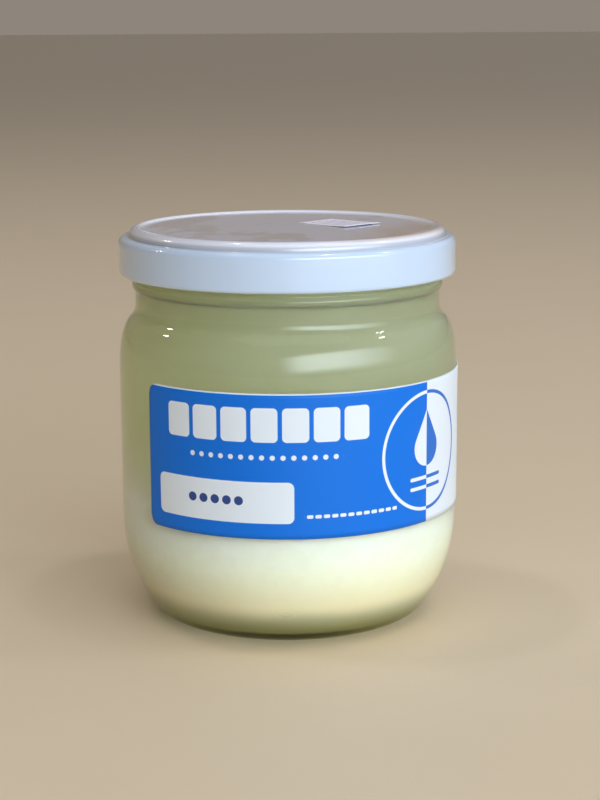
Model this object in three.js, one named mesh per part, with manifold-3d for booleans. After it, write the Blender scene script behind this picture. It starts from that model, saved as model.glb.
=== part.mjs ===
// A shut wide-mouth glass jar of burrata: glass jar, twist-off lid, whey, cheese, wrap label and a small
// lid sticker. Millimetres, +Z up, origin at the centre of the base. The label faces -Y.

import * as THREE from 'three';
import { mergeVertices } from 'three/addons/utils/BufferGeometryUtils.js';
import Module from 'manifold-3d';

const wasm = await Module();
wasm.setup();

// ---- Driving dimensions, in millimetres and degrees ----

const SIDES = 36; // facets round each turned piece
const SEAT_GAP = 0.3; // clearance between pieces that rest on each other

// Jar: body, heel and base
const BODY_RADIUS = 42.75;
const BODY_WALL = 2.5;
const HEEL_TOP = 25.5; // height where the straight body starts to draw in
const HEEL_SWEEP = 40; // large radius of the heel
const HEEL_CORNER = 5.5; // small radius down to the bearing ring
const INNER_CORNER = 4.5; // round between the inner wall and the floor
const BEARING_WIDTH = 2.8;
const PUSH_UP = 1.6; // hollow under the base
const DISH_FULLNESS = 0.8; // depth of that hollow halfway out, as a share of its middle
const FLOOR_TOP = 3.3;

// Jar: shoulder, neck and finish
const SHOULDER_BOTTOM = 64.4;
const SHOULDER_RISE = 12.1;
const SHOULDER_TURN = 70; // share of the oval, in degrees, before it hollows into the neck
const NECK_RADIUS = 38.4;
const NECK_WALL = 2.2;
const BEAD_RADIUS = 39.1; // transfer bead under the lid
const BEAD_HEIGHT = 84.1;
const BEAD_ROUND = 1.5;
const BEAD_HALF_SPAN = 62; // degrees of its round that stand proud, above and below the middle

// Six slanted thread ridges moulded on the finish
const THREAD_COUNT = 6;
const THREAD_START = -129; // direction of the first low end, seen from above
const THREAD_SWEEP = 42;
const THREAD_LOW = 87.4;
const THREAD_HIGH = 92;
const THREAD_HALF_HEIGHT = 1.2;
const THREAD_PROUD = 1.4;

// Lid
const LID_RADIUS = 42.25;
const LID_SHEET = 0.4;
const LID_BOTTOM = 86.75;
const LID_SHOULDER = 1.9;
const GROOVE_RADIUS = 39.7;
const GROOVE_HEIGHT = 96.2;
const CURL_ROUND = 0.9; // rolled lower edge
const CURL_TURN = 210; // degrees that the edge is rolled through
const RING_CREST = 98.5;
const RING_HALF_WIDTH = 1.75;
const PANEL_TOP = 97.95;
const LUG_ANGLE = 12; // inward lugs that hook under the threads
const LUG_REACH = 2.7;
const LUG_HEIGHT = 1.6;

// Contents
const WHEY_LEVEL = 90;
const CHEESE_RADIUS = 38.4;
const CHEESE_EQUATOR = 24;
const CHEESE_TOP = 50;
const CHEESE_FLAT = 14; // flat spot where it rests on the floor
const CHEESE_SQUARENESS = 2.5; // how far the soft underside fills out

// Wrap label
const LABEL_BOTTOM = 28.7;
const LABEL_TOP = 63.6;
const LABEL_LEFT = -50.9; // degrees from the front, positive to the right
const LABEL_RIGHT = 152.7;
const LABEL_CORNER = 2.6;
const LABEL_GAP = 0.15;
const LABEL_SHEET = 0.2;
const LABEL_STEPS = 68;

// Lid sticker
const STICKER_LENGTH = 17;
const STICKER_WIDTH = 12.5;
const STICKER_CENTRE = new THREE.Vector2(13.1, 6.7);
const STICKER_TURN = -46;
const STICKER_SHEET = 0.2;
const STICKER_CURL = 0.25; // lift of the loose edge
const STICKER_CURL_POWER = 4; // how late along the sticker the lift begins

// ---- Shape helpers ----

const radians = THREE.MathUtils.degToRad;

// Points of an elliptical arc in the profile plane, x outward and y up.
function arc(centreX, centreY, radiusX, radiusY, fromDegrees, toDegrees, steps) {
  const points = [];
  for (let step = 0; step <= steps; step += 1) {
    const angle = radians(THREE.MathUtils.lerp(fromDegrees, toDegrees, step / steps));
    const x = centreX + radiusX * Math.cos(angle);
    const y = centreY + radiusY * Math.sin(angle);
    points.push(new THREE.Vector2(x, y));
  }
  return points;
}

function point(x, y) {
  return new THREE.Vector2(x, y);
}

// Turns a profile about the Z axis.
function turned(profile) {
  return new THREE.LatheGeometry(profile, SIDES).rotateX(Math.PI / 2);
}

// The heel, from the floor up to the straight wall: a small corner that runs into a long sweep.
function heel(wallRadius, bottom, sweep, corner, cornerSteps, sweepSteps) {
  const joinAngle = Math.asin((HEEL_TOP - corner - bottom) / (sweep - corner));
  const join = THREE.MathUtils.radToDeg(joinAngle);
  const sweepCentre = wallRadius - sweep;
  const cornerCentre = sweepCentre + (sweep - corner) * Math.cos(joinAngle);
  const lower = arc(cornerCentre, bottom + corner, corner, corner, -90, -join, cornerSteps);
  const upper = arc(sweepCentre, HEEL_TOP, sweep, sweep, -join, 0, sweepSteps);
  return lower.concat(upper.slice(1));
}

// The shoulder, from the straight wall up to the neck: a convex oval, then a hollow curve into the neck.
function shoulder(wallRadius, neckRadius, ovalSteps, hollowSteps) {
  const width = wallRadius - neckRadius;
  const oval = arc(neckRadius, SHOULDER_BOTTOM, width, SHOULDER_RISE, 0, SHOULDER_TURN, ovalSteps);
  const join = oval[oval.length - 1];
  const turn = radians(SHOULDER_TURN);
  const lean = Math.atan2(width * Math.sin(turn), SHOULDER_RISE * Math.cos(turn));
  const round = (join.x - neckRadius) / (1 - Math.cos(lean));
  const top = join.y + round * Math.sin(lean);
  const leanDegrees = THREE.MathUtils.radToDeg(lean);
  const hollow = arc(neckRadius + round, top, round, round, 180 + leanDegrees, 180, hollowSteps);
  return oval.concat(hollow.slice(1));
}

function toSolid(geometry) {
  const bare = geometry.clone();
  bare.deleteAttribute('normal');
  bare.deleteAttribute('uv');
  const welded = mergeVertices(bare);
  const vertProperties = new Float32Array(welded.attributes.position.array);
  const triVerts = new Uint32Array(welded.index.array);
  return new wasm.Manifold(new wasm.Mesh({ numProp: 3, vertProperties, triVerts }));
}

function toGeometry(solid) {
  const mesh = solid.getMesh();
  const geometry = new THREE.BufferGeometry();
  geometry.setAttribute('position', new THREE.BufferAttribute(mesh.vertProperties, mesh.numProp));
  geometry.setIndex(new THREE.BufferAttribute(mesh.triVerts, 1));
  geometry.computeVertexNormals();
  return geometry;
}

function piece(name, geometry, color, roughness, metalness) {
  const material = new THREE.MeshStandardMaterial({ color, roughness, metalness });
  const mesh = new THREE.Mesh(geometry, material);
  mesh.name = name;
  return mesh;
}

// ---- Jar ----

const innerWall = BODY_RADIUS - BODY_WALL;
const innerNeck = NECK_RADIUS - NECK_WALL;
const panelUnder = PANEL_TOP - LID_SHEET;
const rimTop = panelUnder - SEAT_GAP;

// One thread ridge: an oval swept up a short helix, with its foot buried in the neck wall.
function threadRidge(startDegrees) {
  const path = new THREE.CatmullRomCurve3([]);
  const knots = 6;
  for (let knot = 0; knot <= knots; knot += 1) {
    const share = knot / knots;
    const angle = radians(startDegrees + THREAD_SWEEP * share);
    const height = THREE.MathUtils.lerp(THREAD_LOW, THREAD_HIGH, share);
    const x = NECK_RADIUS * Math.cos(angle);
    const y = NECK_RADIUS * Math.sin(angle);
    path.points.push(new THREE.Vector3(x, y, height));
  }
  const section = new THREE.Shape();
  section.absellipse(0, 0, THREAD_HALF_HEIGHT, THREAD_PROUD, 0, 2 * Math.PI);
  return new THREE.ExtrudeGeometry(section, { steps: knots, curveSegments: 6, extrudePath: path });
}

function jarGeometry() {
  const outerHeel = heel(BODY_RADIUS, 0, HEEL_SWEEP, HEEL_CORNER, 3, 4);
  const bearingInner = outerHeel[0].x - BEARING_WIDTH;
  const innerSweep = HEEL_SWEEP - BODY_WALL;
  const innerHeel = heel(innerWall, FLOOR_TOP, innerSweep, INNER_CORNER, 3, 3);
  const rimMiddle = NECK_RADIUS - NECK_WALL / 2;
  const rimRound = NECK_WALL / 2;
  const beadCentre = BEAD_RADIUS - BEAD_ROUND;
  const profile = [
    point(0, PUSH_UP),
    point(bearingInner / 2, PUSH_UP * DISH_FULLNESS),
    point(bearingInner, 0),
    ...outerHeel,
    ...shoulder(BODY_RADIUS, NECK_RADIUS, 5, 2),
    ...arc(beadCentre, BEAD_HEIGHT, BEAD_ROUND, BEAD_ROUND, -BEAD_HALF_SPAN, BEAD_HALF_SPAN, 4),
    ...arc(rimMiddle, rimTop - rimRound, rimRound, rimRound, 0, 180, 4),
    ...shoulder(innerWall, innerNeck, 3, 2).reverse(),
    ...innerHeel.reverse(),
    point(0, FLOOR_TOP),
  ];
  let solid = toSolid(turned(profile));
  for (let index = 0; index < THREAD_COUNT; index += 1) {
    const start = THREAD_START + (360 / THREAD_COUNT) * index;
    solid = solid.add(toSolid(threadRidge(start)));
  }
  return toGeometry(solid);
}

// ---- Lid ----

const ringMiddle = GROOVE_RADIUS - RING_HALF_WIDTH;

// One lug: a short flat step on the inside of the rolled edge.
function lidLug(startDegrees) {
  const outer = LID_RADIUS - LID_SHEET / 2;
  const from = radians(startDegrees);
  const to = radians(startDegrees + LUG_ANGLE);
  const outline = new THREE.Shape();
  outline.absarc(0, 0, outer, from, to, false);
  outline.absarc(0, 0, outer - LUG_REACH, to, from, true);
  const settings = { depth: LUG_HEIGHT, bevelEnabled: false, curveSegments: 3 };
  return new THREE.ExtrudeGeometry(outline, settings).translate(0, 0, LID_BOTTOM + SEAT_GAP);
}

function lidGeometry() {
  const ringHeight = RING_CREST - GROOVE_HEIGHT;
  const panelAngle = 180 - THREE.MathUtils.radToDeg(Math.asin((PANEL_TOP - GROOVE_HEIGHT) / ringHeight));
  const underWidth = RING_HALF_WIDTH - LID_SHEET;
  const underHeight = ringHeight - LID_SHEET;
  const underAngle = 180 - THREE.MathUtils.radToDeg(Math.asin((panelUnder - GROOVE_HEIGHT) / underHeight));
  const shoulderCentre = LID_RADIUS - LID_SHOULDER;
  const shoulderMiddle = GROOVE_HEIGHT - LID_SHOULDER;
  const curlCentre = LID_RADIUS - CURL_ROUND;
  const curlMiddle = LID_BOTTOM + CURL_ROUND;
  const underShoulder = LID_SHOULDER - LID_SHEET;
  const profile = [
    point(0, PANEL_TOP),
    ...arc(ringMiddle, GROOVE_HEIGHT, RING_HALF_WIDTH, ringHeight, panelAngle, 0, 5),
    ...arc(shoulderCentre, shoulderMiddle, LID_SHOULDER, LID_SHOULDER, 90, 0, 3),
    ...arc(curlCentre, curlMiddle, CURL_ROUND, CURL_ROUND, 0, -CURL_TURN, 5),
    point(LID_RADIUS - LID_SHEET, curlMiddle + CURL_ROUND),
    ...arc(shoulderCentre, shoulderMiddle, underShoulder, underShoulder, 0, 90, 2),
    point(GROOVE_RADIUS - LID_SHEET / 2, GROOVE_HEIGHT - LID_SHEET),
    ...arc(ringMiddle, GROOVE_HEIGHT, underWidth, underHeight, 0, underAngle, 3),
    point(0, panelUnder),
  ];
  let solid = toSolid(turned(profile.reverse()));
  for (let index = 0; index < THREAD_COUNT; index += 1) {
    const highEnd = THREAD_START + THREAD_SWEEP + (360 / THREAD_COUNT) * index;
    solid = solid.add(toSolid(lidLug(highEnd - LUG_ANGLE)));
  }
  return toGeometry(solid);
}

// ---- Cheese and whey ----

// The ball, from the edge of its flat spot to its crown, grown by a margin. Its underside is the fuller half.
function cheeseProfile(margin) {
  const radius = CHEESE_RADIUS + margin;
  const bottom = FLOOR_TOP + SEAT_GAP - margin;
  const crown = CHEESE_TOP + margin - CHEESE_EQUATOR;
  const steps = 6;
  const points = [];
  for (let step = 0; step < steps; step += 1) {
    const angle = (Math.PI / 2) * (step / steps);
    const x = CHEESE_FLAT + (radius - CHEESE_FLAT) * Math.sin(angle) ** (2 / CHEESE_SQUARENESS);
    const y = CHEESE_EQUATOR - (CHEESE_EQUATOR - bottom) * Math.cos(angle) ** (2 / CHEESE_SQUARENESS);
    points.push(point(x, y));
  }
  const upper = arc(0, CHEESE_EQUATOR, radius, crown, 0, 90, steps).slice(0, -1);
  return [...points, ...upper, point(0, CHEESE_EQUATOR + crown)];
}

function cheeseGeometry(margin) {
  return turned([point(0, FLOOR_TOP + SEAT_GAP - margin), ...cheeseProfile(margin)]);
}

// The whey fills the jar round the cheese. Its hollow is open at the floor, where the cheese rests.
function wheyGeometry() {
  const wall = innerWall - SEAT_GAP;
  const neck = innerNeck - SEAT_GAP;
  const bottom = FLOOR_TOP + SEAT_GAP;
  const sweep = HEEL_SWEEP - BODY_WALL - SEAT_GAP;
  const corner = INNER_CORNER - SEAT_GAP;
  const profile = [
    point(0, bottom),
    ...heel(wall, bottom, sweep, corner, 3, 3),
    ...shoulder(wall, neck, 3, 2),
    point(neck, WHEY_LEVEL),
    point(0, WHEY_LEVEL),
  ];
  const full = toSolid(turned(profile));
  return toGeometry(full.subtract(toSolid(cheeseGeometry(SEAT_GAP))));
}

// ---- Label and sticker ----

// A flat strip bent round the jar. Near its ends its height follows the rounded corners.
function labelGeometry() {
  const inner = BODY_RADIUS + LABEL_GAP;
  const length = radians(LABEL_RIGHT - LABEL_LEFT) * inner;
  const height = LABEL_TOP - LABEL_BOTTOM;
  const strip = new THREE.BoxGeometry(length, LABEL_SHEET, height, LABEL_STEPS, 1, 1);
  const position = strip.attributes.position;
  for (let index = 0; index < position.count; index += 1) {
    const along = position.getX(index) + length / 2;
    const fromEnd = Math.min(along, length - along);
    const inset = Math.max(0, LABEL_CORNER - fromEnd);
    const drop = LABEL_CORNER - Math.sqrt(LABEL_CORNER ** 2 - inset ** 2);
    const halfHeight = height / 2 - drop;
    const radius = inner + LABEL_SHEET / 2 - position.getY(index);
    const angle = radians(LABEL_LEFT - 90) + along / inner;
    const middle = (LABEL_TOP + LABEL_BOTTOM) / 2;
    const z = middle + Math.sign(position.getZ(index)) * halfHeight;
    position.setXYZ(index, radius * Math.cos(angle), radius * Math.sin(angle), z);
  }
  return strip;
}

// A small paper sticker on the lid panel, with one end lifting off.
function stickerGeometry() {
  const sheet = new THREE.BoxGeometry(STICKER_LENGTH, STICKER_WIDTH, STICKER_SHEET, 8, 1, 1);
  const position = sheet.attributes.position;
  for (let index = 0; index < position.count; index += 1) {
    const share = position.getX(index) / STICKER_LENGTH + 0.5;
    const lift = STICKER_CURL * share ** STICKER_CURL_POWER;
    position.setZ(index, position.getZ(index) + lift);
  }
  return sheet;
}

// ---- Assembly ----

const jarOfBurrata = new THREE.Group();
jarOfBurrata.add(piece('jar', jarGeometry(), 0xd9e2dc, 0.05, 0));
jarOfBurrata.add(piece('lid', lidGeometry(), 0xeef1f6, 0.3, 0.1));
jarOfBurrata.add(piece('whey', wheyGeometry(), 0xa0a87c, 0.3, 0));
jarOfBurrata.add(piece('burrata', cheeseGeometry(0), 0xf4f3e6, 0.5, 0));
jarOfBurrata.add(piece('label', labelGeometry(), 0x1f6fd6, 0.35, 0));

const sticker = piece('lid_sticker', stickerGeometry(), 0xf0eef4, 0.6, 0);
sticker.position.set(STICKER_CENTRE.x, STICKER_CENTRE.y, PANEL_TOP + LABEL_GAP + STICKER_SHEET / 2);
sticker.rotation.z = radians(STICKER_TURN);
jarOfBurrata.add(sticker);

export default jarOfBurrata;
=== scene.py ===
"""Looks of a shut glass jar of burrata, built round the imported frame.

Profiles and print are worked out in millimetres and degrees; every mesh is written in metres, in the
frame's own axes: +Z up, the label's blue front towards -Y. Angles round the jar are counted from the
front, positive to the right.
"""
import math

import bpy
import numpy as np
from mathutils import Euler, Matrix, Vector


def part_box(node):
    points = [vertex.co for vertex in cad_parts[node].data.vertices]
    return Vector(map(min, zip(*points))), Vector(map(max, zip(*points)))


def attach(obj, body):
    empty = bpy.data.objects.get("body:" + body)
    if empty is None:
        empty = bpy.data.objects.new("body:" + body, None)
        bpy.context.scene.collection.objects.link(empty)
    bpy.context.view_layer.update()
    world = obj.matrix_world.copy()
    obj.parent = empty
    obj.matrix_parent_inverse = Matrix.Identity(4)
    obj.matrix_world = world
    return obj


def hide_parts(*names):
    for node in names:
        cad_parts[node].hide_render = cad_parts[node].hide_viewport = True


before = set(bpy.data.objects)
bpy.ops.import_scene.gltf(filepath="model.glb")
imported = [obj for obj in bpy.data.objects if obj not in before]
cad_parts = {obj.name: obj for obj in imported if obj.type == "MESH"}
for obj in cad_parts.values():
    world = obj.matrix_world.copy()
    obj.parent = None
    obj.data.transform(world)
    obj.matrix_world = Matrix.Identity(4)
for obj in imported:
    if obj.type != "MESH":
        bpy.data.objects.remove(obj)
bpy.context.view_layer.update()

MM = 0.001


def corners(node):
    """Lowest and highest corner of a CAD node, in millimetres."""
    low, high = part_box(node)
    return low / MM, high / MM


jar_high = corners("jar")[1]
lid_low, lid_high = corners("lid")
whey_low, whey_high = corners("whey")
cheese_low, cheese_high = corners("burrata")
label_low, label_high = corners("label")
sticker_low, sticker_high = corners("lid_sticker")

# ---- Sizes, in millimetres and degrees ----

SEAT_GAP = 0.3

# Glass
BODY_RADIUS = jar_high.x
RIM_TOP = jar_high.z
BODY_WALL = 2.5
HEEL_TOP = 25.5
HEEL_SWEEP = 40
HEEL_CORNER = 5.5
INNER_CORNER = 4.5
BEARING_WIDTH = 2.8
PUSH_UP = 1.6
DISH_FULLNESS = 0.8
FLOOR_TOP = whey_low.z - SEAT_GAP
SHOULDER_BOTTOM = 64.4
SHOULDER_RISE = 12.1
SHOULDER_TURN = 70
NECK_RADIUS = 38.4
NECK_WALL = 2.2
BEAD_RADIUS = 39.1
BEAD_HEIGHT = 84.1
BEAD_ROUND = 1.5
BEAD_HALF_SPAN = 62
GLASS_WAVE = 0.05
MARK_WINDOW = (-8, 28)
MARK_STEP = 0.36
OVAL_CENTRE = (-1.0, 9.2)
OVAL_HALF = (2.3, 1.0)
OVAL_RELIEF = 0.22
OVAL_DOT_RELIEF = 0.2
MARK_DOTS = (14.1, 17.0)
MARK_DOT_HEIGHT = 10.9
MARK_DOT_RELIEF = 0.25
MARK_DOT_RADIUS = 0.55
BEARING_ROUND = 0.8
THREAD_COUNT = 6
THREAD_START = -39
THREAD_SWEEP = 42
THREAD_LOW = 87.4
THREAD_HIGH = 92
THREAD_HALF_HEIGHT = 1.2
THREAD_PROUD = 1.35

# Lid
LID_RADIUS = lid_high.x
LID_BOTTOM = lid_low.z
RING_CREST = lid_high.z
LID_SHEET = 0.4
LID_SHOULDER = 1.5
GROOVE_RADIUS = 39.7
GROOVE_HEIGHT = 96.2
CURL_ROUND = 0.9
RING_HALF_WIDTH = 1.75
PANEL_TOP = 97.95
LUG_ANGLE = 12
LUG_REACH = 2.7
LUG_HEIGHT = 1.6
LUG_STEPS = 8
CURL_TURN = 210
SKIRT_RELIEF = 0.04

# Contents
WHEY_LEVEL = whey_high.z
INTO_GLASS = 0.08
MENISCUS = 0.9
MENISCUS_WIDTH = 1.6
CHEESE_RADIUS = cheese_high.x
CHEESE_TOP = cheese_high.z
CHEESE_BOTTOM = cheese_low.z
CHEESE_EQUATOR = 24
CHEESE_FLAT = 14
CHEESE_SQUARENESS = 2.5
CHEESE_LUMPS = 0.5

# Label
LABEL_BOTTOM = label_low.z
LABEL_TOP = label_high.z
LABEL_OUTER = label_high.x
LABEL_SHEET = 0.2
LABEL_LEFT = -50.9
LABEL_RIGHT = 152.7
LABEL_CORNER = 2.6
LABEL_RIPPLE = 0.025

# Lid sticker
STICKER_CENTRE = (sticker_low + sticker_high) / 2
STICKER_LENGTH = 17
STICKER_WIDTH = 12.5
STICKER_TURN = -46
STICKER_SHEET = 0.12
STICKER_LIFT = 0.03
STICKER_CURL = 0.25
STICKER_CURL_POWER = 4


inner_wall = BODY_RADIUS - BODY_WALL
inner_neck = NECK_RADIUS - NECK_WALL
inner_sweep = HEEL_SWEEP - BODY_WALL

# ---- Camera and floor, in millimetres, degrees and pixels ----

CAMERA_DISTANCE = 462
CAMERA_HEIGHT = 147.2
CAMERA_PITCH = 11.46
CAMERA_ROLL = -0.35
SENSOR = 36
FOCAL_PIXELS = 1843
IMAGE_HEIGHT = 800
AXIS_PIXEL_OFFSET = -11.9
FLOOR_REACH = 40000
FLOOR_SIDES = 64
FLOOR_DROP = 0.01

# ---- Colours, linear red, green and blue ----

GLASS_COLOUR = (0.97, 0.99, 0.97, 1)
GLASS_SHADOW = (0.93, 0.96, 0.93, 1)
GLASS_TINT = (0.70, 0.70, 0.36, 1)
# Painted shade: the two stippled dark olive tones of the glass underside.
BASE_SHADE_DEEP = (0.33, 0.29, 0.06)
BASE_SHADE_PALE = (0.38, 0.34, 0.09)
WHEY_COLOUR = (0.67, 0.73, 0.33)
WHEY_DRIFT = (0.70, 0.76, 0.36)
# Painted shade: the whey's colour low in the jar, where little light reaches.
WHEY_BOTTOM_SHADE = (0.40, 0.36, 0.16)
CHEESE_COLOUR = (1.0, 0.955, 0.89)
CHEESE_SHADE = (0.97, 0.92, 0.84)
# Painted shade: the cheese's white, warmer and darker low down.
CHEESE_BOTTOM_SHADE = (0.95, 0.79, 0.56)
LACQUER_COLOUR = (0.56, 0.69, 0.91)
LACQUER_DRIFT = (0.59, 0.72, 0.93)
# Painted light: the ring above the groove is painted whiter than the skirt.
RING_LIGHT_COLOUR = (0.80, 0.82, 0.92)
# Painted shade: a dark line in the groove under the ring.
GROOVE_SHADE_COLOUR = (0.24, 0.25, 0.31)
# Painted shade: the panel and the ring's crest are painted greyer than the rest of the lid, for the lesser
# light that falls on them from above.
PANEL_SHADE_COLOUR = (0.70, 0.71, 0.88)
# Painted reflection: brown patches of the room mirrored on the panel.
PANEL_REFLECTION_COLOUR = (0.40, 0.30, 0.22)
# Painted reflection: a warm brown object mirrored towards the panel's right edge.
WARM_REFLECTION_COLOUR = (0.60, 0.41, 0.29)
BLUE = (0.002, 0.16, 0.71)
BLUE_DRIFT = (0.003, 0.17, 0.74)
BADGE_BLUE = (0.03, 0.16, 0.60)
LABEL_WHITE = (0.79, 0.85, 0.94)
INK = (0.03, 0.07, 0.26)
PAPER_COLOUR = (0.84, 0.82, 0.92)
PAPER_DRIFT = (0.90, 0.88, 0.96)
LAVENDER = (0.36, 0.25, 0.62)
FLOOR_COLOUR = (0.74, 0.61, 0.44)
FLOOR_DRIFT = (0.77, 0.64, 0.47)
WINDOW_COLOUR = (0.80, 0.92, 1.0)
CEILING_COLOUR = (1.0, 0.90, 0.78)
SPOT_COLOUR = (1.0, 0.95, 0.88)
WORLD_FRONT_LEFT = (0.06, 0.05, 0.03, 1)
WORLD_FRONT_RIGHT = (0.30, 0.32, 0.38, 1)
WORLD_BACK_LEFT = (0.20, 0.17, 0.12, 1)
WORLD_BACK_RIGHT = (0.62, 0.61, 0.62, 1)
WORLD_LOW = (0.27, 0.235, 0.20, 1)

# ---- Looks of the glass and its contents. Depths of scattering in metres, the rest in millimetres ----

GLASS_DENSITY = 40.0
WHEY_DEPTH = 0.35
CHEESE_DEPTH = 0.0025
SCATTER_COLOURS = (1.0, 1.0, 0.7)
WALL_GAP = 4.0
CLOUDINESS = 7.0
CROWN_FADE = 28
CROWN_FADE_RATE = 0.5
SKIN_SQUARENESS = 2.6
LUMP_SIZE = 11
LUMP_REACH = 2.0
CLOT_SIZE = 3.5
DRIFT_SIZE = 22
SHADE_LOW = 5
SHADE_HIGH = 27
# Heights over which the whey's painted shade fades out.
WHEY_SHADE_START = 3.0
WHEY_SHADE_END = 11.0

# ---- Print. Across is counted round the label from its front, up from its lower edge, in millimetres ----

PRINT_EDGE = 0.06
SPAN_EDGE = 0.1
FIELD_EDGE = 38.0
EDGE_LINE = 0.35
BOX_CENTRE = (-16.4, 8.8)
BOX_HALF = (17.7, 5.0)
BOX_CORNER = 1.5
TITLE_LEFT = -31.4
TITLE_PITCH = 7.36
TITLE_RIGHT = TITLE_LEFT + 7 * TITLE_PITCH
TITLE_CENTRE = (TITLE_LEFT + TITLE_PITCH / 2, 27.45)
TITLE_HALF = (3.15, 4.1)
TITLE_CORNER = 1.1
DOT_PITCH = 2.5
DOT_CENTRE = (DOT_PITCH / 2, 19.7)
DOT_RADIUS = 0.62
DOTS_LEFT = -24.3
DOTS_RIGHT = 13.1
DASH_PITCH = 2.0
DASH_CENTRE = (DASH_PITCH / 2, 5.4)
DASH_HALF = (0.75, 0.42)
DASH_CORNER = 0.3
DASHES_LEFT = 3.8
DASHES_RIGHT = 27.5
WORD_LEFT = -25.4
WORD_PITCH = 3.0
WORD_RIGHT = WORD_LEFT + 5 * WORD_PITCH
WORD_CENTRE = (WORD_LEFT + WORD_PITCH / 2, 9.1)
WORD_RADIUS = 1.1
BADGE_HEIGHT = 17.8
BADGE_RADIUS = 14.4
BADGE_LINE = 0.42
DROP_HEIGHT = 0.8
DROP_RADIUS = 4.6
DROP_SLOPE = (0.87, 0.49)
DROP_WIDTH = 4.99
DROP_WAIST = 3.05
BAR_PITCH = 2.4
BAR_LOWEST = -10.2
BAR_HIGHEST = -5.5
BAR_HALF = (6.0, 0.45)
BAR_CORNER = 0.4
STICKER_BAR_PITCH = 2.4
STICKER_BAR_HALF = (6.2, 0.4)
STICKER_BAR_CORNER = 0.2
STICKER_BAR_STRENGTH = 0.8
STICKER_BAR_SPAN = 4.4

# ---- Looks of the lid, in millimetres from its middle ----

# Radii where the panel's painted shade ends, and where the ring's inner slope is left light as painted
# light.
PANEL_SHADE_RADIUS = 38.9
LIT_SLOPE_START = 36.6
LIT_SLOPE_END = 37.4
# Size, strength and reach of the painted reflections on the panel.
PANEL_REFLECTION_SIZE = 15
PANEL_REFLECTION_STRENGTH = 0.45
PANEL_REFLECTION_LIMIT = 35.0
WARM_REFLECTION_STRENGTH = 0.6
GROOVE_SHADE_STRENGTH = 0.5


# ---- Mesh helpers ----

def arc(centre_x, centre_y, radius_x, radius_y, start, end, steps):
    """Points of an elliptical arc in the profile plane."""
    angles = np.radians(np.linspace(start, end, steps + 1))
    return [(centre_x + radius_x * math.cos(a), centre_y + radius_y * math.sin(a)) for a in angles]


def refined(profile, spacing):
    """The same outline with no step longer than spacing."""
    points = [profile[0]]
    for start, end in zip(profile, profile[1:]):
        steps = max(1, math.ceil(math.dist(start, end) / spacing))
        for step in range(1, steps + 1):
            share = step / steps
            points.append((start[0] + (end[0] - start[0]) * share, start[1] + (end[1] - start[1]) * share))
    return points


def ring_angles(segments, window=None, window_step=None):
    """Directions round the jar in degrees from the front, closer together inside the window."""
    even = np.linspace(-180, 180, segments, endpoint=False)
    if window is None:
        return even
    outside = even[(even < window[0]) | (even > window[1])]
    return np.sort(np.concatenate([outside, np.arange(window[0], window[1], window_step)]))


def new_object(name, vertices, faces, materials, face_slots=None):
    """A smooth mesh object. Vertices are in millimetres."""
    mesh = bpy.data.meshes.new(name)
    mesh.from_pydata([tuple(v) for v in np.asarray(vertices) * MM], [], faces)
    for material in materials:
        mesh.materials.append(material)
    if face_slots is not None:
        mesh.polygons.foreach_set("material_index", face_slots)
    mesh.polygons.foreach_set("use_smooth", [True] * len(mesh.polygons))
    mesh.update()
    thing = bpy.data.objects.new(name, mesh)
    bpy.context.scene.collection.objects.link(thing)
    return thing


def turned(profile, angles, relief=None):
    """Vertices and faces of a profile turned about Z. The profile starts and ends on the axis.

    relief(angle, radius, height) gives a step outward for each point, all in millimetres.
    """
    inner = profile[1:-1]
    radius, angle = np.meshgrid([p[0] for p in inner], angles, indexing="ij")
    height = np.meshgrid([p[1] for p in inner], angles, indexing="ij")[0]
    if relief is not None:
        radius = radius + relief(angle, radius, height)
    turn = np.radians(angle)
    grid = np.stack([radius * np.sin(turn), -radius * np.cos(turn), height], axis=-1)
    rows, columns = radius.shape
    vertices = [(0, 0, profile[0][1]), (0, 0, profile[-1][1]), *grid.reshape(-1, 3)]
    faces = []
    for column in range(columns):
        after = (column + 1) % columns
        faces.append((0, 2 + after, 2 + column))
        for row in range(rows - 1):
            low, high = 2 + row * columns, 2 + (row + 1) * columns
            faces.append((low + column, low + after, high + after, high + column))
        last = 2 + (rows - 1) * columns
        faces.append((1, last + column, last + after))
    return vertices, faces


def bent_sheet(columns, rows, place):
    """Vertices and faces of a thin closed sheet. place(along, up, side) gives a point; side is 0 or 1."""
    vertices = [
        place(column / columns, row / rows, side)
        for side in (0, 1)
        for row in range(rows + 1)
        for column in range(columns + 1)
    ]
    wide, layer = columns + 1, (columns + 1) * (rows + 1)
    faces = []
    for row in range(rows):
        for column in range(columns):
            a = row * wide + column
            faces.append((a, a + wide, a + wide + 1, a + 1))
            faces.append((a + layer, a + 1 + layer, a + wide + 1 + layer, a + wide + layer))
    rim = list(range(columns))
    rim += [row * wide + columns for row in range(rows)]
    rim += [rows * wide + column for column in range(columns, 0, -1)]
    rim += [row * wide for row in range(rows, 0, -1)]
    for a, b in zip(rim, rim[1:] + rim[:1]):
        faces.append((a, b, b + layer, a + layer))
    return vertices, faces


# ---- Node helpers ----

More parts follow.
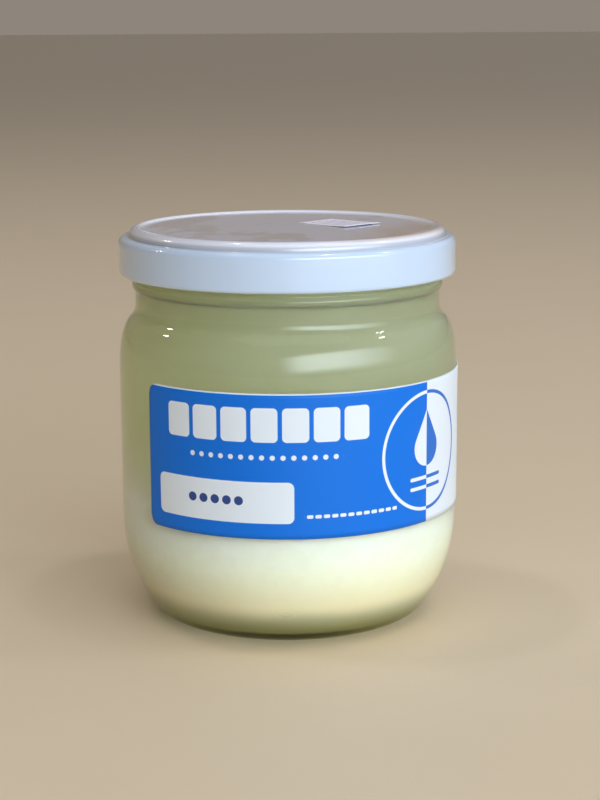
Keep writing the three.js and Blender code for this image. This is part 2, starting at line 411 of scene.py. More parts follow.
class Field:
    """A number that varies over a surface. Arithmetic on it adds Math nodes."""

    def __init__(self, tree, socket):
        self.tree = tree
        self.socket = socket

    def maths(self, operation, *values):
        node = self.tree.nodes.new("ShaderNodeMath")
        node.operation = operation
        for slot, value in zip(node.inputs, values):
            if isinstance(value, Field):
                self.tree.links.new(value.socket, slot)
            else:
                slot.default_value = value
        return Field(self.tree, node.outputs[0])

    def __add__(self, other):
        return self.maths("ADD", self, other)

    def __sub__(self, other):
        return self.maths("SUBTRACT", self, other)

    def __rsub__(self, other):
        return self.maths("SUBTRACT", other, self)

    def __mul__(self, other):
        return self.maths("MULTIPLY", self, other)

    def __truediv__(self, other):
        return self.maths("DIVIDE", self, other)

    def __pow__(self, other):
        return self.maths("POWER", self, other)

    __radd__ = __add__
    __rmul__ = __mul__

    def smaller(self, other):
        return self.maths("MINIMUM", self, other)

    def larger(self, other):
        return self.maths("MAXIMUM", self, other)

    def positive(self):
        return self.larger(0.0)

    def size(self):
        return self.maths("ABSOLUTE", self)

    def root(self):
        return self.maths("SQRT", self)

    def exp(self):
        return self.maths("EXPONENT", self)

    def wrapped(self, low, high):
        return self.maths("WRAP", self, high, low)

    def ramp(self, start, end):
        """0 below start, 1 above end, smooth between."""
        node = self.tree.nodes.new("ShaderNodeMapRange")
        node.interpolation_type = "SMOOTHSTEP"
        self.tree.links.new(self.socket, node.inputs["Value"])
        node.inputs["From Min"].default_value = start
        node.inputs["From Max"].default_value = end
        return Field(self.tree, node.outputs["Result"])


class Finish:
    """One material: a Principled shader with the nodes that vary it."""

    def __init__(self, name, **settings):
        self.material = bpy.data.materials.new(name)
        self.material.use_nodes = True
        self.tree = self.material.node_tree
        self.shader = self.tree.nodes["Principled BSDF"]
        self.output = self.tree.nodes["Material Output"]
        for socket, value in settings.items():
            self.shader.inputs[socket.replace("_", " ")].default_value = value
        self.place = self.tree.nodes.new("ShaderNodeTexCoord")

    def coordinates(self):
        """The point on the piece, in millimetres, as three fields."""
        split = self.tree.nodes.new("ShaderNodeSeparateXYZ")
        self.tree.links.new(self.place.outputs["Object"], split.inputs[0])
        return [Field(self.tree, split.outputs[axis]) / MM for axis in range(3)]

    def noise(self, size, detail=2.0, stretch=(1, 1, 1)):
        """Noise from 0 to 1 with lumps of about that size in millimetres."""
        mapping = self.tree.nodes.new("ShaderNodeMapping")
        mapping.inputs["Scale"].default_value = stretch
        node = self.tree.nodes.new("ShaderNodeTexNoise")
        node.inputs["Scale"].default_value = 1 / (size * MM)
        node.inputs["Detail"].default_value = detail
        self.tree.links.new(self.place.outputs["Object"], mapping.inputs["Vector"])
        self.tree.links.new(mapping.outputs["Vector"], node.inputs["Vector"])
        return Field(self.tree, node.outputs[0])

    def mix(self, share, first, second):
        """A colour between two colours. Each is an RGB triple or the socket of an earlier mix."""
        node = self.tree.nodes.new("ShaderNodeMix")
        node.data_type = "RGBA"
        self.tree.links.new(share.socket, node.inputs[0])
        for slot, colour in ((node.inputs[6], first), (node.inputs[7], second)):
            if isinstance(colour, bpy.types.NodeSocket):
                self.tree.links.new(colour, slot)
            else:
                slot.default_value = (*colour, 1)
        return node.outputs[2]

    def set(self, socket, value):
        source = value.socket if isinstance(value, Field) else value
        self.tree.links.new(source, self.shader.inputs[socket])

    def bump(self, height, strength, distance):
        node = self.tree.nodes.new("ShaderNodeBump")
        node.inputs["Strength"].default_value = strength
        node.inputs["Distance"].default_value = distance * MM
        self.tree.links.new(height.socket, node.inputs["Height"])
        self.tree.links.new(node.outputs[0], self.shader.inputs["Normal"])


def rounded_box(across, up, centre, half, corner):
    """Distance in millimetres to a box with rounded corners, negative inside it."""
    dx = (across - centre[0]).size() - (half[0] - corner)
    dy = (up - centre[1]).size() - (half[1] - corner)
    outside = (dx.positive() ** 2.0 + dy.positive() ** 2.0).root()
    return outside + dx.larger(dy).smaller(0.0) - corner


def distance_to(across, up, centre):
    return ((across - centre[0]) ** 2.0 + (up - centre[1]) ** 2.0).root()


def covered(distance):
    """1 inside a shape and 0 outside, with a soft edge as print has."""
    return 1 - distance.ramp(-PRINT_EDGE, PRINT_EDGE)


def between(field, start, end):
    """1 from start to end and 0 elsewhere, with a narrow soft edge outside each."""
    return field.ramp(start - SPAN_EDGE, start) * (1 - field.ramp(end, end + SPAN_EDGE))


# ---- Materials ----

def glass_material():
    finish = Finish("clear_glass", Base_Color=GLASS_COLOUR, Transmission_Weight=1.0, IOR=1.5)
    finish.set("Roughness", finish.noise(14).ramp(0.3, 0.9) * 0.03)
    finish.bump(finish.noise(9, 1.0), 0.25, 0.06)
    tree = finish.tree
    path = tree.nodes.new("ShaderNodeLightPath")
    clear = tree.nodes.new("ShaderNodeBsdfTransparent")
    clear.inputs["Color"].default_value = GLASS_SHADOW
    mix = tree.nodes.new("ShaderNodeMixShader")
    tree.links.new(path.outputs["Is Shadow Ray"], mix.inputs[0])
    tree.links.new(finish.shader.outputs[0], mix.inputs[1])
    tree.links.new(clear.outputs[0], mix.inputs[2])
    tree.links.new(mix.outputs[0], finish.output.inputs["Surface"])
    tint = tree.nodes.new("ShaderNodeVolumeAbsorption")
    tint.inputs["Color"].default_value = GLASS_TINT
    tint.inputs["Density"].default_value = GLASS_DENSITY
    tree.links.new(tint.outputs[0], finish.output.inputs["Volume"])
    return finish.material


def base_shade_material():
    """The underside of the glass, stippled, and painted dark olive as shade: it stands for the dark space
    under the jar, seen through the thick base with its green tint.
    """
    finish = Finish("glass_base_shade", Roughness=0.5, Specular_IOR_Level=0.3)
    stipple = finish.noise(1.1, 2.0)
    finish.set("Base Color", finish.mix(stipple, BASE_SHADE_DEEP, BASE_SHADE_PALE))
    finish.bump(stipple, 0.4, 0.08)
    return finish.material


def whey_material(name, **settings):
    """Cloudy whey, whiter the nearer the cheese lies behind the surface, with painted shade: darker
    towards the bottom, and the cheese's white warmer and darker low down.
    """
    finish = Finish(name, Subsurface_Weight=1.0, **settings)
    finish.shader.inputs["Subsurface Radius"].default_value = SCATTER_COLOURS
    x, y, z = finish.coordinates()
    across = (x ** 2.0 + y ** 2.0).root() / CHEESE_RADIUS
    rise = z - CHEESE_EQUATOR
    up = rise.positive() / (CHEESE_TOP - CHEESE_EQUATOR)
    down = (rise * -1.0).positive() / (CHEESE_EQUATOR - CHEESE_BOTTOM)
    tall = up + down
    reach = (across ** SKIN_SQUARENESS + tall ** SKIN_SQUARENESS) ** (1 / SKIN_SQUARENESS)
    gap = (reach - 1.0) * CHEESE_RADIUS + (z - CROWN_FADE).positive() * CROWN_FADE_RATE
    lumps = finish.noise(LUMP_SIZE, 3.0) - 0.5
    cover = ((gap + lumps * LUMP_REACH - WALL_GAP).positive() / (-CLOUDINESS)).exp()
    clots = finish.noise(CLOT_SIZE, 3.0).ramp(0.35, 0.75)
    skin = finish.mix(clots, CHEESE_COLOUR, CHEESE_SHADE)
    # Painted shade: the cheese is warmer and darker towards the bottom.
    skin = finish.mix(z.ramp(SHADE_LOW, SHADE_HIGH), CHEESE_BOTTOM_SHADE, skin)
    drift = finish.noise(DRIFT_SIZE, 2.0)
    liquid = finish.mix(drift, WHEY_COLOUR, WHEY_DRIFT)
    body = finish.mix(cover, liquid, skin)
    # Painted shade: darker towards the bottom, where little light reaches.
    finish.set("Base Color", finish.mix(z.ramp(WHEY_SHADE_START, WHEY_SHADE_END), WHEY_BOTTOM_SHADE, body))
    finish.set("Subsurface Scale", (1 - cover) * (WHEY_DEPTH - CHEESE_DEPTH) + CHEESE_DEPTH)
    return finish.material


def cheese_material():
    finish = Finish("fresh_cheese", Roughness=0.45, Subsurface_Weight=1.0, Subsurface_Scale=0.006)
    folds = finish.noise(9, 4.0)
    finish.set("Base Color", finish.mix(folds.ramp(0.3, 0.8), CHEESE_COLOUR, CHEESE_SHADE))
    finish.bump(folds, 0.4, 0.6)
    return finish.material


def lacquer_material():
    """Gloss white lacquer with painted light: the ring painted lighter, the panel inside it greyer and the
    groove darker as painted shade, and brown patches and a warm edge on the panel as painted reflections.
    """
    finish = Finish("white_lacquer", Coat_Weight=0.9, Coat_Roughness=0.05)
    x, y, z = finish.coordinates()
    tone = finish.noise(40, 1.0)
    white = finish.mix(tone, LACQUER_COLOUR, LACQUER_DRIFT)
    # Painted light: everything above the groove is painted whiter than the skirt, for the light the ring's
    # top catches.
    white = finish.mix(z.ramp(GROOVE_HEIGHT - 0.1, GROOVE_HEIGHT + 0.5), white, RING_LIGHT_COLOUR)
    # Painted reflection: soft brown patches on the panel stand for the room mirrored in its gloss.
    panel_reflections = finish.noise(PANEL_REFLECTION_SIZE, 2.0, (1.0, 0.55, 1.0)).ramp(0.53, 0.60)
    radius = (x ** 2.0 + y ** 2.0).root()
    panel_reflections = panel_reflections * (1 - radius.ramp(PANEL_REFLECTION_LIMIT, PANEL_REFLECTION_LIMIT + 1.5)) * PANEL_REFLECTION_STRENGTH
    panel = finish.mix(panel_reflections, PANEL_SHADE_COLOUR, PANEL_REFLECTION_COLOUR)
    # Painted reflection: the panel turns warm brown towards its right, where a brown object is mirrored.
    warm_reflection = (x * 0.9 - y * 0.35).ramp(17, 33)
    panel = finish.mix(warm_reflection * WARM_REFLECTION_STRENGTH, panel, WARM_REFLECTION_COLOUR)
    # Painted shade and light: the panel and the ring's crest take the greyer panel colour, while the
    # ring's inner slope is kept light, as lit.
    slope_start = radius.ramp(LIT_SLOPE_START, LIT_SLOPE_START + 0.2)
    lit_inner_slope = slope_start * (1 - radius.ramp(LIT_SLOPE_END, LIT_SLOPE_END + 0.3))
    inside = (1 - radius.ramp(PANEL_SHADE_RADIUS - 0.4, PANEL_SHADE_RADIUS + 0.5)) * (1 - lit_inner_slope)
    # Painted shade: a thin dark line in the groove between the ring and the skirt.
    groove_shade = 1 - (radius - GROOVE_RADIUS).size().ramp(0.05, 0.4)
    groove_shade = groove_shade * z.ramp(GROOVE_HEIGHT - 0.4, GROOVE_HEIGHT) * GROOVE_SHADE_STRENGTH
    outside = finish.mix(groove_shade, white, GROOVE_SHADE_COLOUR)
    finish.set("Base Color", finish.mix(inside, outside, panel))
    finish.set("Roughness", finish.noise(30, 1.0) * 0.06 + 0.22)
    finish.bump(finish.noise(1.2, 1.0), 0.1, 0.015)
    return finish.material


def label_material():
    """Blue front field and white side field with plain shapes where a label has its print."""
    finish = Finish("label_print", Roughness=0.42, Specular_IOR_Level=0.25)
    x, y, z = finish.coordinates()
    turn = x.maths("ARCTAN2", x, y * -1.0)
    along = turn * BODY_RADIUS
    up = z - LABEL_BOTTOM
    side = along.ramp(FIELD_EDGE - PRINT_EDGE, FIELD_EDGE + PRINT_EDGE)

    box = covered(rounded_box(along, up, BOX_CENTRE, BOX_HALF, BOX_CORNER))
    title_cell = along.wrapped(TITLE_LEFT, TITLE_LEFT + TITLE_PITCH)
    title = covered(rounded_box(title_cell, up, TITLE_CENTRE, TITLE_HALF, TITLE_CORNER))
    title = title * between(along, TITLE_LEFT, TITLE_RIGHT)
    dot_cell = along.wrapped(0.0, DOT_PITCH)
    dots = covered(distance_to(dot_cell, up, DOT_CENTRE) - DOT_RADIUS)
    dots = dots * between(along, DOTS_LEFT, DOTS_RIGHT)
    dash_cell = along.wrapped(0.0, DASH_PITCH)
    dashes = covered(rounded_box(dash_cell, up, DASH_CENTRE, DASH_HALF, DASH_CORNER))
    dashes = dashes * between(along, DASHES_LEFT, DASHES_RIGHT)
    edge = z.ramp(LABEL_TOP - EDGE_LINE, LABEL_TOP - EDGE_LINE + SPAN_EDGE)

    white = box.larger(title).larger(dots).larger(dashes).larger(edge)
    word_cell = along.wrapped(WORD_LEFT, WORD_LEFT + WORD_PITCH)
    word = covered(distance_to(word_cell, up, WORD_CENTRE) - WORD_RADIUS)
    word = word * between(along, WORD_LEFT, WORD_RIGHT)

    badge = badge_mask(along - FIELD_EDGE, up - BADGE_HEIGHT)
    tone = finish.noise(25, 3.0)
    blue = finish.mix(tone, BLUE, BLUE_DRIFT)
    front = finish.mix(white.larger(badge), blue, LABEL_WHITE)
    front = finish.mix(word, front, INK)
    back = finish.mix(badge, LABEL_WHITE, BADGE_BLUE)
    finish.set("Base Color", finish.mix(side, front, back))
    finish.bump(finish.noise(6, 2.0), 0.15, 0.05)
    return finish.material


def badge_mask(across, up):
    """A round badge: one plain ring, and a drop over two short bars inside it."""
    distance = (across ** 2.0 + up ** 2.0).root()
    ring = covered((distance - BADGE_RADIUS).size() - BADGE_LINE)
    bowl = distance_to(across, up, (0.0, DROP_HEIGHT)) - DROP_RADIUS
    lean = across.size() * DROP_SLOPE[0] + up * DROP_SLOPE[1] - DROP_WIDTH
    tip = lean.larger(up * -1.0 + DROP_WAIST)
    drop = covered(bowl.smaller(tip))
    bar_cell = up.wrapped(BAR_LOWEST, BAR_LOWEST + BAR_PITCH)
    bar_centre = (0.0, BAR_LOWEST + BAR_PITCH / 2)
    bars = covered(rounded_box(across, bar_cell, bar_centre, BAR_HALF, BAR_CORNER))
    bars = bars * between(up, BAR_LOWEST, BAR_HIGHEST)
    return ring.larger(drop).larger(bars)


def sticker_material():
    finish = Finish("sticker_paper", Roughness=0.6)
    x, y, z = finish.coordinates()
    turn = math.radians(STICKER_TURN)
    east, north = x - STICKER_CENTRE.x, y - STICKER_CENTRE.y
    along = east * math.cos(turn) + north * math.sin(turn)
    up = north * math.cos(turn) - east * math.sin(turn)
    bar_cell = up.wrapped(0.0, STICKER_BAR_PITCH)
    bar_centre = (0.0, STICKER_BAR_PITCH / 2)
    bars = covered(rounded_box(along, bar_cell, bar_centre, STICKER_BAR_HALF, STICKER_BAR_CORNER))
    bars = bars * (1 - up.size().ramp(STICKER_BAR_SPAN, STICKER_BAR_SPAN + SPAN_EDGE))
    grain = finish.noise(1.5, 2.0)
    paper = finish.mix(grain, PAPER_COLOUR, PAPER_DRIFT)
    finish.set("Base Color", finish.mix(bars * STICKER_BAR_STRENGTH, paper, LAVENDER))
    finish.bump(grain, 0.2, 0.03)
    return finish.material


def floor_material():
    finish = Finish("pale_floor", Roughness=0.55)
    tone = finish.noise(60, 3.0)
    finish.set("Base Color", finish.mix(tone, FLOOR_COLOUR, FLOOR_DRIFT))
    return finish.material


# ---- Jar ----

def heel(wall_radius, bottom, sweep, corner, corner_steps, sweep_steps):
    """From the floor up to the straight wall: a small corner that runs into a long sweep."""
    join_angle = math.asin((HEEL_TOP - corner - bottom) / (sweep - corner))
    join = math.degrees(join_angle)
    sweep_centre = wall_radius - sweep
    corner_centre = sweep_centre + (sweep - corner) * math.cos(join_angle)
    lower = arc(corner_centre, bottom + corner, corner, corner, -90, -join, corner_steps)
    return lower + arc(sweep_centre, HEEL_TOP, sweep, sweep, -join, 0, sweep_steps)[1:]


def shoulder(wall_radius, neck_radius, oval_steps, hollow_steps):
    """From the straight wall up to the neck: a convex oval, then a hollow curve into the neck."""
    width = wall_radius - neck_radius
    oval = arc(neck_radius, SHOULDER_BOTTOM, width, SHOULDER_RISE, 0, SHOULDER_TURN, oval_steps)
    turn = math.radians(SHOULDER_TURN)
    lean = math.atan2(width * math.sin(turn), SHOULDER_RISE * math.cos(turn))
    round_off = (oval[-1][0] - neck_radius) / (1 - math.cos(lean))
    top = oval[-1][1] + round_off * math.sin(lean)
    start = 180 + math.degrees(lean)
    return oval + arc(neck_radius + round_off, top, round_off, round_off, start, 180, hollow_steps)[1:]


def thread_relief(angle, radius, height):
    """Six slanted ridges that fade out at their ends."""
    total = np.zeros_like(angle)
    for index in range(THREAD_COUNT):
        start = THREAD_START + index * 360 / THREAD_COUNT
        past = (angle - start + 180) % 360 - 180
        share = past / THREAD_SWEEP
        middle = THREAD_LOW + (THREAD_HIGH - THREAD_LOW) * share
        off = (height - middle) / THREAD_HALF_HEIGHT
        beyond = np.maximum(0, np.abs(past - THREAD_SWEEP / 2) - (THREAD_SWEEP / 2 - 2)) / 2
        total = np.maximum(total, THREAD_PROUD * np.sqrt(np.clip(1 - off**2 - beyond**2, 0, 1)))
    return total


def mould_marks(angle, height):
    """A small oval ring and two dots, moulded low on the heel."""
    across = np.radians(angle) * BODY_RADIUS
    oval = np.hypot((across - OVAL_CENTRE[0]) / OVAL_HALF[0], (height - OVAL_CENTRE[1]) / OVAL_HALF[1])
    relief = OVAL_RELIEF * np.exp(-((oval - 1) / 0.22) ** 2)
    relief = relief + OVAL_DOT_RELIEF * np.exp(-(oval / 0.3) ** 2)
    for centre in MARK_DOTS:
        off = np.hypot(across - centre, height - MARK_DOT_HEIGHT)
        relief = relief + MARK_DOT_RELIEF * np.exp(-(off / MARK_DOT_RADIUS) ** 2)
    return relief


def jar_relief(angle, radius, height):
    inner_limit = np.where(height > SHOULDER_BOTTOM, NECK_RADIUS - 0.05, inner_wall)
    outer = (height > PUSH_UP) & (radius > inner_limit)
    turn = np.radians(angle)
    wave = np.sin(3 * turn + 0.10 * height) + np.sin(7 * turn - 0.06 * height + 1)
    relief = np.where(outer, -GLASS_WAVE * (1 + wave / 2), 0)
    on_finish = (height > BEAD_HEIGHT + BEAD_ROUND) & (np.abs(radius - NECK_RADIUS) < 0.05)
    relief = relief + np.where(on_finish, thread_relief(angle, radius, height), 0)
    on_heel = (height < HEEL_TOP / 2) & (radius > inner_wall * 0.8) & outer_heel_mask(radius, height)
    return relief + np.where(on_heel, mould_marks(angle, height), 0)


def outer_heel_mask(radius, height):
    """True on the outer face of the heel, false on its inner face."""
    outline = heel(BODY_RADIUS, 0, HEEL_SWEEP, HEEL_CORNER, 12, 30)
    expected = np.interp(height, [p[1] for p in outline], [p[0] for p in outline])
    return np.abs(radius - expected) < 0.4


def jar_profile():
    outer_heel = heel(BODY_RADIUS, 0, HEEL_SWEEP, HEEL_CORNER, 10, 40)
    bearing_inner = outer_heel[0][0] - BEARING_WIDTH
    rim_middle = NECK_RADIUS - NECK_WALL / 2
    rim_round = NECK_WALL / 2
    bead_centre = BEAD_RADIUS - BEAD_ROUND
    under = [(0, PUSH_UP), (bearing_inner / 2, PUSH_UP * DISH_FULLNESS), (bearing_inner * 0.96, 0.35)]
    bearing_centre = bearing_inner + BEARING_ROUND
    bearing = arc(bearing_centre, BEARING_ROUND, BEARING_ROUND, BEARING_ROUND, 200, 270, 5)
    outside = shoulder(BODY_RADIUS, NECK_RADIUS, 26, 10)
    bead = arc(bead_centre, BEAD_HEIGHT, BEAD_ROUND, BEAD_ROUND, -BEAD_HALF_SPAN, BEAD_HALF_SPAN, 14)
    rim = arc(rim_middle, RIM_TOP - rim_round, rim_round, rim_round, 0, 180, 12)
    finish_wall = refined([(NECK_RADIUS, BEAD_HEIGHT + BEAD_ROUND + 0.1), rim[0]], 0.35)
    inside = shoulder(inner_wall, inner_neck, 20, 8)[::-1]
    inner_heel = heel(inner_wall, FLOOR_TOP, inner_sweep, INNER_CORNER, 10, 24)[::-1]
    return [
        *refined(under, 3),
        *bearing,
        *refined(outer_heel, 0.6),
        *refined([outer_heel[-1], outside[0]], 2)[1:],
        *outside[1:],
        *refined([outside[-1], bead[0]], 0.8)[1:],
        *bead[1:],
        *finish_wall,
        *rim[1:],
        *refined([rim[-1], inside[0]], 2)[1:],
        *inside[1:],
        *refined([inside[-1], inner_heel[0]], 3)[1:],
        *inner_heel[1:],
        *refined([inner_heel[-1], (0, FLOOR_TOP)], 4)[1:],
    ]


def make_jar():
    angles = ring_angles(216, MARK_WINDOW, MARK_STEP)
    vertices, faces = turned(jar_profile(), angles, jar_relief)
    # Painted shade: the faces under the base take an opaque dark olive finish.
    underside = heel(BODY_RADIUS, 0, HEEL_SWEEP, HEEL_CORNER, 1, 1)[0][0] + 0.3
    below = [math.hypot(*v[:2]) < underside and v[2] < PUSH_UP + 0.01 for v in vertices]
    under = [int(all(below[i] for i in face)) for face in faces]
    return new_object("jar_glass", vertices, faces, [glass_material(), base_shade_material()], under)


# ---- Lid ----

def lid_profile():
    ring_middle = GROOVE_RADIUS - RING_HALF_WIDTH
    ring_height = RING_CREST - GROOVE_HEIGHT
    panel_under = PANEL_TOP - LID_SHEET
    panel_angle = 180 - math.degrees(math.asin((PANEL_TOP - GROOVE_HEIGHT) / ring_height))
    under_width = RING_HALF_WIDTH - LID_SHEET
    under_height = ring_height - LID_SHEET
    under_angle = 180 - math.degrees(math.asin((panel_under - GROOVE_HEIGHT) / under_height))
    shoulder_centre = LID_RADIUS - LID_SHOULDER
    shoulder_middle = GROOVE_HEIGHT - LID_SHOULDER
    curl_centre = LID_RADIUS - CURL_ROUND
    curl_middle = LID_BOTTOM + CURL_ROUND
    under_shoulder = LID_SHOULDER - LID_SHEET
    ring = arc(ring_middle, GROOVE_HEIGHT, RING_HALF_WIDTH, ring_height, panel_angle, 0, 26)
    edge = arc(shoulder_centre, shoulder_middle, LID_SHOULDER, LID_SHOULDER, 90, 0, 10)
    curl = arc(curl_centre, curl_middle, CURL_ROUND, CURL_ROUND, 0, -CURL_TURN, 18)
    inside_edge = arc(shoulder_centre, shoulder_middle, under_shoulder, under_shoulder, 0, 90, 6)
    inside_edge.append((GROOVE_RADIUS - LID_SHEET / 2, GROOVE_HEIGHT - LID_SHEET))
    inside_ring = arc(ring_middle, GROOVE_HEIGHT, under_width, under_height, 0, under_angle, 14)
    return [
        *refined([(0, PANEL_TOP), ring[0]], 3),
        *ring[1:],
        *edge,
        *refined([edge[-1], curl[0]], 2)[1:],
        *curl[1:],
        (LID_RADIUS - LID_SHEET, curl_middle + CURL_ROUND),
        *inside_edge,
        *inside_ring,
        *refined([inside_ring[-1], (0, panel_under)], 4)[1:],
    ][::-1]


def lid_relief(angle, radius, height):
    """The pressed sheet is not quite true: faint flats between the lugs."""
    turn = np.radians(angle)
    skirt = height < GROOVE_HEIGHT - LID_SHOULDER
    return np.where(skirt, -SKIRT_RELIEF * (1 + np.cos(THREAD_COUNT * (turn + 0.2))), 0)


def make_lid():
    vertices, faces = turned(lid_profile(), ring_angles(240), lid_relief)
    outer = LID_RADIUS - LID_SHEET / 2
    for index in range(THREAD_COUNT):
        end = THREAD_START + THREAD_SWEEP + index * 360 / THREAD_COUNT
        base = len(vertices)
        for step in range(LUG_STEPS + 1):
            share = step / LUG_STEPS
            turn = math.radians(end - LUG_ANGLE * (1 - share))
            taper = math.sin(math.pi * min(max(share, 0.1), 0.9)) ** 0.3
            inner = outer - LUG_REACH * taper
            for radius, height in ((outer, 0), (inner, 0), (inner, LUG_HEIGHT), (outer, LUG_HEIGHT)):
                z = LID_BOTTOM + SEAT_GAP + height
                vertices.append((radius * math.sin(turn), -radius * math.cos(turn), z))
        for step in range(LUG_STEPS):
            a, b = base + 4 * step, base + 4 * (step + 1)
            for side in range(4):
                after = (side + 1) % 4
                faces.append((a + side, a + after, b + after, b + side))
        last = base + 4 * LUG_STEPS
        faces.append((base, base + 3, base + 2, base + 1))
        faces.append((last, last + 1, last + 2, last + 3))
    return new_object("lid_shell", vertices, faces, [lacquer_material()])


# ---- Whey and cheese ----

def make_whey():
    """The liquid up to its level, reaching just into the glass, with a meniscus at the wall."""
    wall = inner_wall + INTO_GLASS
    neck = inner_neck + INTO_GLASS
    bottom = FLOOR_TOP - INTO_GLASS
    lower = heel(wall, bottom, inner_sweep + INTO_GLASS, INNER_CORNER + INTO_GLASS, 10, 24)
    upper = shoulder(wall, neck, 20, 8)
    curve = arc(neck - MENISCUS_WIDTH, WHEY_LEVEL, MENISCUS_WIDTH, -MENISCUS, 0, 90, 6)
    climb = [(neck, WHEY_LEVEL), *curve[1:]]
    side = [
        *refined([(0, bottom), lower[0]], 4),
        *lower[1:],
        *refined([lower[-1], upper[0]], 2)[1:],
        *upper[1:],
        *refined([upper[-1], climb[0]], 1)[1:],
    ]
    top = [*climb[1:], *refined([climb[-1], (0, WHEY_LEVEL - MENISCUS)], 4)[1:]]
    angles = ring_angles(192)
    vertices, faces = turned(side + top, angles)
    in_glass = whey_material("whey_in_glass", Roughness=0.5, Specular_IOR_Level=0.0)
    surface = whey_material("whey_surface", Roughness=0.06, IOR=1.34)
    border = WHEY_LEVEL - 0.01
    heights = np.array([v[2] for v in vertices])
    radii = np.array([math.hypot(v[0], v[1]) for v in vertices])
    slots = [
        int(all(heights[i] > border - MENISCUS - 0.1 and radii[i] < neck + 0.01 for i in face)
            and any(radii[i] < neck - 0.01 for i in face))
        for face in faces
    ]
    return new_object("whey_body", vertices, faces, [in_glass, surface], slots)


def cheese_relief(angle, radius, height):
    turn = np.radians(angle)
    lump = np.sin(2 * turn + 0.4) + np.sin(5 * turn + 0.12 * height) / 2
    lump = lump + np.sin(0.5 * height + 3 * turn) / 3
    return -CHEESE_LUMPS * (1 + lump / 2) * np.clip(radius / 10, 0, 1)


def make_cheese():
    power = 2 / CHEESE_SQUARENESS
    width, depth = CHEESE_RADIUS - CHEESE_FLAT, CHEESE_EQUATOR - CHEESE_BOTTOM
    lower = [
        (CHEESE_FLAT + width * math.sin(a) ** power, CHEESE_EQUATOR - depth * max(math.cos(a), 0) ** power)
        for a in np.radians(np.linspace(0, 90, 24))
    ]
    upper = arc(0, CHEESE_EQUATOR, CHEESE_RADIUS, CHEESE_TOP - CHEESE_EQUATOR, 0, 90, 30)[1:-1]
    profile = [*refined([(0, CHEESE_BOTTOM), lower[0]], 3), *lower[1:], *upper, (0, CHEESE_TOP)]
    vertices, faces = turned(profile, ring_angles(128), cheese_relief)
    return new_object("cheese_ball", vertices, faces, [cheese_material()])


# ---- Label and sticker ----

def make_label():
    length = math.radians(LABEL_RIGHT - LABEL_LEFT) * LABEL_OUTER
    middle = (LABEL_TOP + LABEL_BOTTOM) / 2
    half = (LABEL_TOP - LABEL_BOTTOM) / 2

    def place(along, up, side):
        from_end = min(along, 1 - along) * length
        inset = max(0.0, LABEL_CORNER - from_end)
        drop = LABEL_CORNER - math.sqrt(max(LABEL_CORNER**2 - inset**2, 0))
        angle = math.radians(LABEL_LEFT + (LABEL_RIGHT - LABEL_LEFT) * along)
        z = middle + (2 * up - 1) * (half - drop)
        ripple = math.sin(9 * angle + 0.2 * z) + math.sin(23 * angle - 0.3 * z)
        lift = LABEL_RIPPLE * (1 - ripple / 2)
        radius = LABEL_OUTER - lift - (0 if side else LABEL_SHEET)
        return radius * math.sin(angle), -radius * math.cos(angle), z

    vertices, faces = bent_sheet(420, 30, place)
    return new_object("label_wrap", vertices, faces, [label_material()])


def make_sticker():
    turn = math.radians(STICKER_TURN)
    centre = STICKER_CENTRE

    def place(along, up, side):
        local_x = (along - 0.5) * STICKER_LENGTH
        local_y = (up - 0.5) * STICKER_WIDTH
        lift = STICKER_CURL * along**STICKER_CURL_POWER
        x = centre.x + local_x * math.cos(turn) - local_y * math.sin(turn)
        y = centre.y + local_x * math.sin(turn) + local_y * math.cos(turn)
        return x, y, PANEL_TOP + STICKER_LIFT + lift + side * STICKER_SHEET

    vertices, faces = bent_sheet(30, 20, place)
    return new_object("price_sticker", vertices, faces, [sticker_material()])


# ---- Stage, camera and lights ----

def make_camera():
    camera = bpy.data.cameras.new("camera")
    camera.sensor_width = SENSOR
    camera.lens = camera.sensor_width * FOCAL_PIXELS / IMAGE_HEIGHT
    camera.shift_x = -AXIS_PIXEL_OFFSET / IMAGE_HEIGHT
    holder = bpy.data.objects.new("camera", camera)
    holder.location = Vector((0, -CAMERA_DISTANCE, CAMERA_HEIGHT)) * MM
    tilt = Euler((math.radians(90 - CAMERA_PITCH), 0, 0)).to_matrix()
    roll = Euler((0, 0, math.radians(CAMERA_ROLL))).to_matrix()
    holder.rotation_euler = (tilt @ roll).to_euler()
    bpy.context.scene.collection.objects.link(holder)
    bpy.context.scene.camera = holder


def make_floor():
    turns = np.linspace(0, 2 * math.pi, FLOOR_SIDES + 1)[:-1]
    ring = [(FLOOR_REACH * math.cos(a), FLOOR_REACH * math.sin(a), -FLOOR_DROP) for a in turns]
    floor = new_object("floor", ring, [tuple(range(FLOOR_SIDES))], [floor_material()])


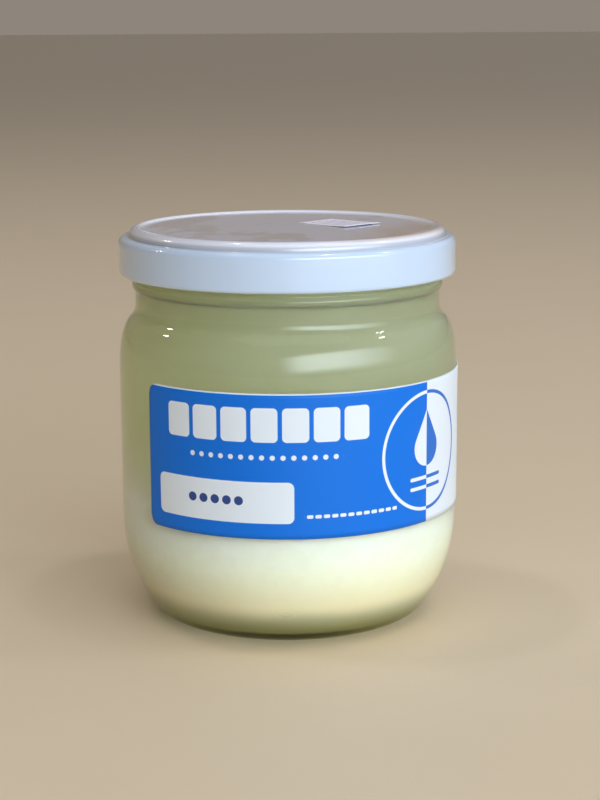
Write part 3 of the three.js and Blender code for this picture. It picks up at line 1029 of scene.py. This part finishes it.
def area_light(name, azimuth, elevation, distance, width, height, power, colour, fade=None):
    """A soft light that faces the jar. Azimuth is counted from the camera's side, positive to the right.

    fade gives the shares of its width and height over which its brightness falls to nothing at its edges:
    left, right, and both upright ones.
    """
    lamp = bpy.data.lights.new(name, "AREA")
    lamp.shape = "RECTANGLE"
    lamp.size = width
    lamp.size_y = height
    lamp.energy = power
    lamp.color = colour
    holder = bpy.data.objects.new(name, lamp)
    a, e = math.radians(azimuth), math.radians(elevation)
    away = Vector((math.sin(a) * math.cos(e), -math.cos(a) * math.cos(e), math.sin(e)))
    holder.location = Vector((0, 0, 0.05)) + away * distance
    holder.rotation_euler = away.to_track_quat("Z", "Y").to_euler()
    bpy.context.scene.collection.objects.link(holder)
    if fade is not None:
        lamp.use_nodes = True
        tree = lamp.node_tree
        place = tree.nodes.new("ShaderNodeNewGeometry")
        split = tree.nodes.new("ShaderNodeSeparateXYZ")
        tree.links.new(place.outputs["Parametric"], split.inputs[0])
        across, up = Field(tree, split.outputs[0]), Field(tree, split.outputs[1])
        left, right, upright = fade
        level = across.ramp(0, left) * (1 - across.ramp(1 - right, 1))
        level = level * up.ramp(0, upright) * (1 - up.ramp(1 - upright, 1))
        tree.links.new(level.socket, tree.nodes["Emission"].inputs["Strength"])


def make_world():
    """Soft light from all round, warmer to the left and cooler to the right."""
    world = bpy.data.worlds.new("studio")
    world.use_nodes = True
    bpy.context.scene.world = world
    tree = world.node_tree
    background = tree.nodes["Background"]
    place = tree.nodes.new("ShaderNodeTexCoord")
    split = tree.nodes.new("ShaderNodeSeparateXYZ")
    tree.links.new(place.outputs["Generated"], split.inputs[0])
    side = Field(tree, split.outputs[0]).ramp(-0.9, 0.9)
    behind = Field(tree, split.outputs[1]).ramp(-0.2, 0.8)
    front = world_mix(tree, side, WORLD_FRONT_LEFT, WORLD_FRONT_RIGHT)
    back = world_mix(tree, side, WORLD_BACK_LEFT, WORLD_BACK_RIGHT)
    colour = world_mix(tree, behind, front, back)
    low = Field(tree, split.outputs[2]).ramp(0.12, 0.35)
    colour = world_mix(tree, low, WORLD_LOW, colour)
    tree.links.new(colour, background.inputs["Color"])


def world_mix(tree, share, first, second):
    node = tree.nodes.new("ShaderNodeMix")
    node.data_type = "RGBA"
    tree.links.new(share.socket, node.inputs[0])
    for slot, colour in ((node.inputs[6], first), (node.inputs[7], second)):
        if isinstance(colour, bpy.types.NodeSocket):
            tree.links.new(colour, slot)
        else:
            slot.default_value = colour
    return node.outputs[2]


def make_lights():
    area_light("window", 38, 17, 1.6, 3.2, 0.85, 64, WINDOW_COLOUR, (0.3, 0.6, 0.3))
    area_light("ceiling", 10, 78, 1.8, 1.8, 1.8, 6, CEILING_COLOUR)
    spots = ((-107, 32, 1.5), (88, 45, 1.8), (-100, 72, 2.2), (70, 74, 1.8))
    for azimuth, elevation, power in spots:
        area_light("spot", azimuth, elevation, 1.8, 0.15, 0.09, power, SPOT_COLOUR)
    make_world()


# ---- Assembly ----

make_camera()
make_floor()
make_lights()
bpy.context.scene.view_settings.view_transform = "Standard"

PIECES = (
    (make_jar, "jar", "clear_glass"),
    (make_lid, "lid", "white_lacquer"),
    (make_whey, "whey", "cloudy_whey"),
    (make_cheese, "burrata", "fresh_cheese"),
    (make_label, "label", "label_print"),
    (make_sticker, "lid_sticker", "sticker_paper"),
)
for make, node, slot in PIECES:
    piece = make()
    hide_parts(node)
    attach(piece, "root")
